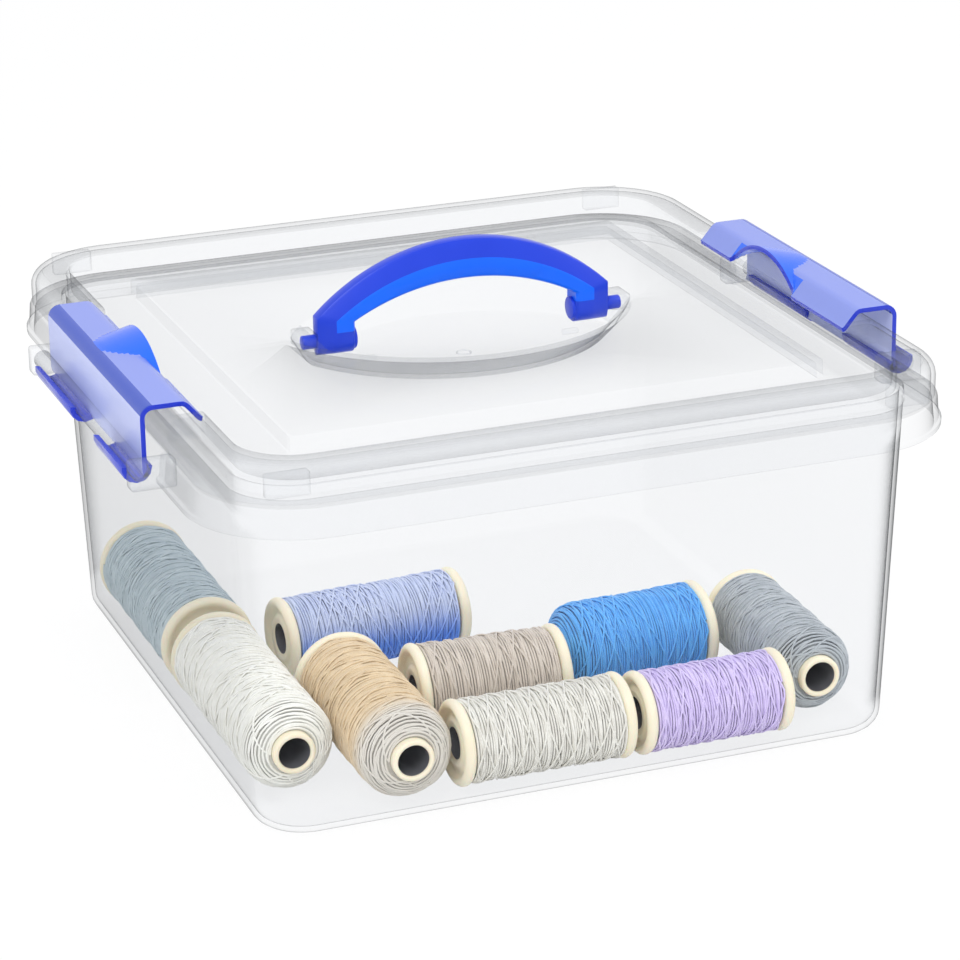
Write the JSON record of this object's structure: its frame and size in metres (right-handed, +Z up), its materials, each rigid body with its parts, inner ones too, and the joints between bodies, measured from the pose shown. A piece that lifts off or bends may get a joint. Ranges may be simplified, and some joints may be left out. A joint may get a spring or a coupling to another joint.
{
  "type": "embroidery thread box",
  "caption": "Clear plastic box with a clip-on lid, two hinged side latches and a fold-down carry handle, holding spools of embroidery thread.",
  "frame": {"origin": "middle of the whole part in plan, on the face that the tub stands on", "axes": "+Z up, +X to the right along the front, +Y to the back, with a latch on the left and right sides"},
  "size_m": [0.3458, 0.33, 0.1935],
  "materials": {
    "clear_shell": "clear",
    "blue_handle": "satin",
    "blue_latch": "translucent",
    "cream_bobbin": "matte",
    "slate_thread": "silky",
    "white_thread": "silky",
    "tan_thread": "silky",
    "sky_thread": "silky",
    "taupe_thread": "silky",
    "ivory_thread": "silky",
    "blue_thread": "silky",
    "lilac_thread": "silky",
    "grey_thread": "silky"
  },
  "bodies": {
    "tub": {"tub": "clear_shell", "tub_floor": "clear_shell"},
    "lid": {"lid": "clear_shell"},
    "handle": {"handle": "blue_handle"},
    "left_latch": {"left_latch": "blue_latch"},
    "right_latch": {"right_latch": "blue_latch"},
    "slate_spool": {"slate_bobbin": "cream_bobbin", "slate_thread": "slate_thread", "slate_turns": "slate_thread"},
    "white_spool": {"white_bobbin": "cream_bobbin", "white_thread": "white_thread", "white_turns": "white_thread"},
    "tan_spool": {"tan_bobbin": "cream_bobbin", "tan_thread": "tan_thread", "tan_turns": "tan_thread"},
    "sky_spool": {"sky_bobbin": "cream_bobbin", "sky_thread": "sky_thread", "sky_turns": "sky_thread"},
    "taupe_spool": {"taupe_bobbin": "cream_bobbin", "taupe_thread": "taupe_thread", "taupe_turns": "taupe_thread"},
    "ivory_spool": {"ivory_bobbin": "cream_bobbin", "ivory_thread": "ivory_thread", "ivory_turns": "ivory_thread"},
    "blue_spool": {"blue_bobbin": "cream_bobbin", "blue_thread": "blue_thread", "blue_turns": "blue_thread"},
    "lilac_spool": {"lilac_bobbin": "cream_bobbin", "lilac_thread": "lilac_thread", "lilac_turns": "lilac_thread"},
    "grey_spool": {"grey_bobbin": "cream_bobbin", "grey_thread": "grey_thread", "grey_turns": "grey_thread"}
  },
  "joints": [
    {"name": "lid_lift", "type": "slide", "parent": "tub", "child": "lid", "axis": [0, 0, 1], "range_m": [0, 0.018]},
    {"name": "left_latch_hinge", "type": "hinge", "parent": "tub", "child": "left_latch", "pos_m": [-0.1665, -0.009, 0.1413], "axis": [0, -1, 0], "range_deg": [0, 150]},
    {"name": "right_latch_hinge", "type": "hinge", "parent": "tub", "child": "right_latch", "pos_m": [0.1665, -0.009, 0.1413], "axis": [0, 1, 0], "range_deg": [0, 150]},
    {"name": "handle_hinge", "type": "hinge", "parent": "lid", "child": "handle", "pos_m": [0, 0, 0.1561], "axis": [1, 0, 0], "range_deg": [-90, 90]},
    {"name": "slate_spool_lift", "type": "slide", "parent": "tub", "child": "slate_spool", "axis": [0, 0, 1], "range_m": [0, 0.09]},
    {"name": "white_spool_lift", "type": "slide", "parent": "tub", "child": "white_spool", "axis": [0, 0, 1], "range_m": [0, 0.09]},
    {"name": "tan_spool_lift", "type": "slide", "parent": "tub", "child": "tan_spool", "axis": [0, 0, 1], "range_m": [0, 0.09]},
    {"name": "sky_spool_lift", "type": "slide", "parent": "tub", "child": "sky_spool", "axis": [0, 0, 1], "range_m": [0, 0.09]},
    {"name": "taupe_spool_lift", "type": "slide", "parent": "tub", "child": "taupe_spool", "axis": [0, 0, 1], "range_m": [0, 0.09]},
    {"name": "ivory_spool_lift", "type": "slide", "parent": "tub", "child": "ivory_spool", "axis": [0, 0, 1], "range_m": [0, 0.09]},
    {"name": "blue_spool_lift", "type": "slide", "parent": "tub", "child": "blue_spool", "axis": [0, 0, 1], "range_m": [0, 0.09]},
    {"name": "lilac_spool_lift", "type": "slide", "parent": "tub", "child": "lilac_spool", "axis": [0, 0, 1], "range_m": [0, 0.09]},
    {"name": "grey_spool_lift", "type": "slide", "parent": "tub", "child": "grey_spool", "axis": [0, 0, 1], "range_m": [0, 0.09]}
  ],
  "couplings": [
    {"joint": "left_latch_hinge", "follows": "lid_lift", "rad_per_m": 145},
    {"joint": "right_latch_hinge", "follows": "lid_lift", "rad_per_m": 145}
  ]
}
